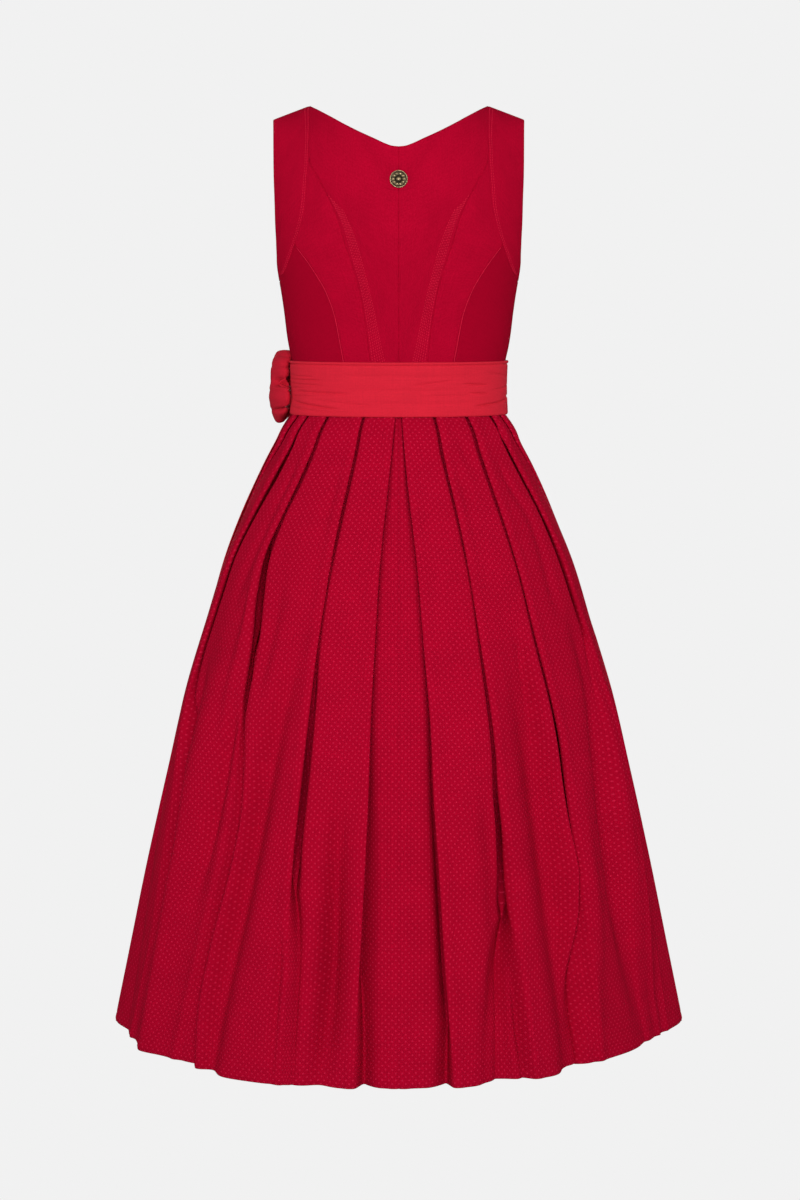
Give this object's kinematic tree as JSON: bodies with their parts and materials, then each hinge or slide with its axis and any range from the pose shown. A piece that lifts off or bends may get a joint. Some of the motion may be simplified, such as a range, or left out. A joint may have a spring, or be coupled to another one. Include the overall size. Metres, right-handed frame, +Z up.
{
  "type": "dirndl",
  "caption": "Sleeveless folk dress with a fitted panelled bodice, a knife-pleated midi skirt, a gathered apron and a sash tied in a bow.",
  "frame": {"origin": "between the neck ends of the two shoulder seams, on the line where the wearer's shoulders carry the garment", "axes": "+Z up from hem to shoulders, -Y towards the back of the garment, +X towards the wearer's right side"},
  "size_m": [0.6914, 0.631, 1.1057],
  "materials": {
    "bodice_cloth": "matt cotton and linen cloth, crimson",
    "skirt_cloth": "cotton print, crimson with small lighter dots",
    "sash_cloth": "fine plain cotton, poppy red",
    "antique_brass": "antiqued"
  },
  "bodies": {
    "root": {"back_centre_left": "bodice_cloth", "back_centre_right": "bodice_cloth", "back_middle_left": "bodice_cloth", "back_middle_right": "bodice_cloth", "back_side_left": "bodice_cloth", "back_side_right": "bodice_cloth", "back_yoke_left": "bodice_cloth", "back_yoke_right": "bodice_cloth", "front_yoke_left": "bodice_cloth", "front_yoke_right": "bodice_cloth", "front_side_left": "bodice_cloth", "front_side_right": "bodice_cloth", "front_centre_left": "bodice_cloth", "front_centre_right": "bodice_cloth", "skirt_back": "skirt_cloth", "skirt_right": "skirt_cloth", "skirt_front": "skirt_cloth", "skirt_left": "skirt_cloth", "apron_panel": "sash_cloth", "sash_band": "sash_cloth", "bow_knot": "sash_cloth", "bow_loop_back": "sash_cloth", "bow_loop_front": "sash_cloth", "tie_tail_long": "sash_cloth", "tie_tail_short": "sash_cloth", "back_rosette": "antique_brass"}
  },
  "joints": []
}
